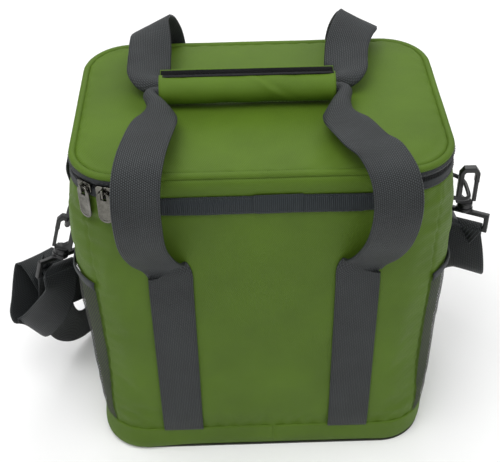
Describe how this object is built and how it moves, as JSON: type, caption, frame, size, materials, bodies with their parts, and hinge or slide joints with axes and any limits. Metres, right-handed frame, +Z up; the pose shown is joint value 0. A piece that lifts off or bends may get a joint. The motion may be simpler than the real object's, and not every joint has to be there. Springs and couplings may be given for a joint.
{
  "type": "insulated cooler bag",
  "caption": "Soft-sided insulated cooler bag: zipped foam lid, webbing carry handles joined by a wrap, mesh side pockets and a clip-on shoulder strap.",
  "frame": {"origin": "middle of the underside of the base, where the bag stands", "axes": "+Z up, -Y the front with the lid's cloth hinge, +X to the right of someone facing the front"},
  "size_m": [0.4711, 0.272, 0.379],
  "materials": {
    "green_cloth": "diagonal-weave polyester, satin",
    "green_wrap": "diagonal-weave polyester, satin",
    "webbing": "charcoal woven polypropylene webbing",
    "seam_tape": "ribbed grosgrain tape",
    "zipper_tape": "charcoal knitted zipper tape",
    "zipper_coil": "nylon coil",
    "mesh": "open black mesh",
    "elastic": "charcoal elastic binding",
    "foam": "closed-cell foam",
    "liner": "foil-faced lining",
    "board": "stiff base board",
    "black_plastic": "moulded acetal",
    "hook_tape": "hook tape",
    "loop_tape": "loop tape",
    "nickel": "polished nickel plate"
  },
  "bodies": {
    "root": {"front_panel": "green_cloth", "back_panel": "green_cloth", "left_side_panel": "green_cloth", "right_side_panel": "green_cloth", "front_foam": "foam", "back_foam": "foam", "left_foam": "foam", "right_foam": "foam", "liner_walls": "liner", "liner_base": "liner", "base_panel": "board", "base_foam": "foam", "base_band": "green_cloth", "hinge_band": "green_cloth", "hinge_seam_tape": "seam_tape", "zipper_lower_tape": "zipper_tape", "zipper_lower_coil": "zipper_coil", "front_left_handle_leg": "webbing", "front_right_handle_leg": "webbing", "back_left_handle_leg": "webbing", "back_right_handle_leg": "webbing", "left_pocket_mesh": "mesh", "right_pocket_mesh": "mesh", "left_pocket_elastic": "elastic", "right_pocket_elastic": "elastic", "left_ring_tab": "webbing", "right_ring_tab": "webbing"},
    "lid": {"lid_top_panel": "green_cloth", "lid_foam": "foam", "lid_liner": "liner", "lid_piping": "green_cloth", "zipper_upper_tape": "zipper_tape", "zipper_upper_coil": "zipper_coil"},
    "front_handle": {"front_handle_loop": "webbing", "grip_wrap": "green_wrap", "grip_loop_tape": "loop_tape"},
    "back_handle_lower": {"back_handle_left_rise": "webbing", "back_handle_right_rise": "webbing"},
    "back_handle_upper": {"back_handle_loop": "webbing"},
    "grip_flap": {"grip_flap": "green_wrap", "grip_hook_tape": "hook_tape"},
    "left_ring": {"left_ring": "black_plastic"},
    "right_ring": {"right_ring": "black_plastic"},
    "shoulder_strap": {"shoulder_strap": "webbing", "left_swivel_eye": "black_plastic", "right_swivel_eye": "black_plastic"},
    "left_hook": {"left_hook_body": "black_plastic"},
    "right_hook": {"right_hook_body": "black_plastic"},
    "left_gate": {"left_hook_gate": "black_plastic"},
    "right_gate": {"right_hook_gate": "black_plastic"},
    "adjuster": {"strap_adjuster": "black_plastic", "adjuster_loop": "webbing"},
    "slider_a": {"slider_a": "nickel"},
    "slider_b": {"slider_b": "nickel"},
    "pull_a": {"pull_a": "nickel"},
    "pull_b": {"pull_b": "nickel"}
  },
  "joints": [
    {"name": "lid_hinge", "type": "hinge", "parent": "root", "child": "lid", "pos_m": [0, -0.1035, 0.334], "axis": [1, 0, 0], "range_deg": [0, 100]},
    {"name": "front_handle_swing", "type": "hinge", "parent": "root", "child": "front_handle", "pos_m": [0, -0.1077, 0.2366], "axis": [1, 0, 0], "range_deg": [0, 130]},
    {"name": "back_handle_swing", "type": "hinge", "parent": "root", "child": "back_handle_lower", "pos_m": [0, 0.1077, 0.2366], "axis": [1, 0, 0], "range_deg": [-130, 0]},
    {"name": "back_handle_bend", "type": "hinge", "parent": "back_handle_lower", "child": "back_handle_upper", "pos_m": [0, 0.0843, 0.3769], "axis": [1, 0, 0], "range_deg": [-200, 0]},
    {"name": "grip_flap_hinge", "type": "hinge", "parent": "back_handle_upper", "child": "grip_flap", "pos_m": [0, -0.004, 0.3398], "axis": [1, 0, 0], "range_deg": [-24, 0]},
    {"name": "left_ring_pivot", "type": "hinge", "parent": "root", "child": "left_ring", "pos_m": [-0.168, 0, 0.235], "axis": [0, 1, 0], "range_deg": [-2, 2]},
    {"name": "right_ring_pivot", "type": "hinge", "parent": "root", "child": "right_ring", "pos_m": [0.168, 0, 0.241], "axis": [0, 1, 0], "range_deg": [-4, 4]},
    {"name": "shoulder_strap_swing", "type": "hinge", "parent": "root", "child": "shoulder_strap", "pos_m": [-0.181, -0.018, 0.21248], "axis": [0.9973, 0.048, 0.0547], "range_deg": [0, 6]},
    {"name": "left_hook_swivel", "type": "hinge", "parent": "shoulder_strap", "child": "left_hook", "pos_m": [-0.18927, -0.011, 0.18365], "axis": [0.2756, 0, 0.9613], "range_deg": [-6, 10]},
    {"name": "right_hook_swivel", "type": "hinge", "parent": "shoulder_strap", "child": "right_hook", "pos_m": [0.19273, 0, 0.21697], "axis": [0, 0, 1], "range_deg": [-10, 10]},
    {"name": "left_hook_gate", "type": "hinge", "parent": "left_hook", "child": "left_gate", "pos_m": [-0.19564, -0.011, 0.18901], "axis": [0, 1, 0], "range_deg": [0, 20], "stiffness_Nm_per_rad": 0.02},
    {"name": "right_hook_gate", "type": "hinge", "parent": "right_hook", "child": "right_gate", "pos_m": [0.20033, 0, 0.22037], "axis": [0, 1, 0], "range_deg": [-10, 0], "stiffness_Nm_per_rad": 0.02},
    {"name": "adjuster_slide", "type": "slide", "parent": "shoulder_strap", "child": "adjuster", "axis": [1, 0, 0], "range_m": [0, 0.018]},
    {"name": "slider_a_travel", "type": "hinge", "parent": "root", "child": "slider_a", "pos_m": [-0.1135, -0.061, 0.323], "axis": [0, 0, 1], "range_deg": [-45, 0]},
    {"name": "slider_b_travel", "type": "hinge", "parent": "root", "child": "slider_b", "pos_m": [-0.1135, -0.061, 0.323], "axis": [0, 0, 1], "range_deg": [0, 10]},
    {"name": "pull_a_swing", "type": "hinge", "parent": "slider_a", "child": "pull_a", "pos_m": [-0.14345, -0.09838, 0.3227], "axis": [0.7804, -0.6252, 0], "range_deg": [-150, 0]},
    {"name": "pull_b_swing", "type": "hinge", "parent": "slider_b", "child": "pull_b", "pos_m": [-0.12654, -0.10709, 0.3227], "axis": [0.9622, -0.2723, 0], "range_deg": [-150, 0]}
  ],
  "couplings": [
    {"joint": "front_handle_swing", "follows": "lid_hinge", "ratio": 1.3},
    {"joint": "back_handle_swing", "follows": "lid_hinge", "ratio": -1.3},
    {"joint": "back_handle_bend", "follows": "lid_hinge", "ratio": -2}
  ]
}
